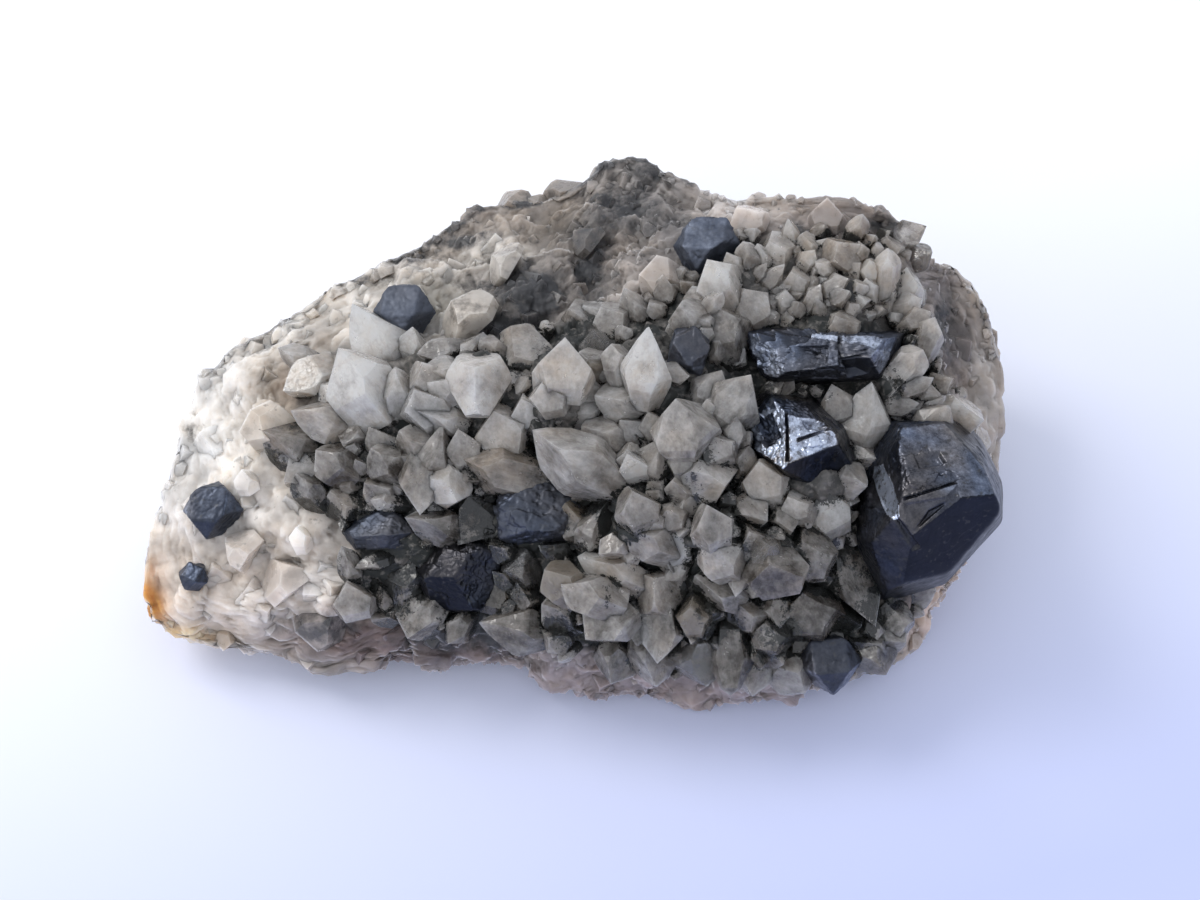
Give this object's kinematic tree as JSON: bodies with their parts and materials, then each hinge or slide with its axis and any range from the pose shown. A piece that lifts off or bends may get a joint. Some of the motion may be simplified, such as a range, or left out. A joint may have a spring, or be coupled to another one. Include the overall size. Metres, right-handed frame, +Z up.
{
  "type": "rock crystal quartz specimen",
  "caption": "Palm-sized mineral specimen: a crust of short, pointed quartz crystals with dark metallic galena crystals on a pale host rock with a flat underside",
  "frame": {"origin": "the middle of the flat underside that the specimen rests on", "axes": "X along the length, Y from the steep front to the tall back, Z up from the underside"},
  "size_m": [0.0851, 0.0547, 0.0327],
  "materials": {
    "host_rock": "rough, granular stone",
    "quartz": "translucent grey-white crystal",
    "galena": "dark blue-grey metallic crystal faces"
  },
  "bodies": {
    "root": {"host_rock": "host_rock", "quartz_druse": "quartz", "galena_large": "galena", "galena_middle": "galena", "galena_bar": "galena", "galena_trough_left": "galena", "galena_trough_front": "galena", "galena_trough_back": "galena", "galena_front_edge": "galena", "galena_left_large": "galena", "galena_left_small": "galena", "galena_back_large": "galena", "galena_back_small": "galena", "galena_upper_left": "galena"}
  },
  "joints": []
}
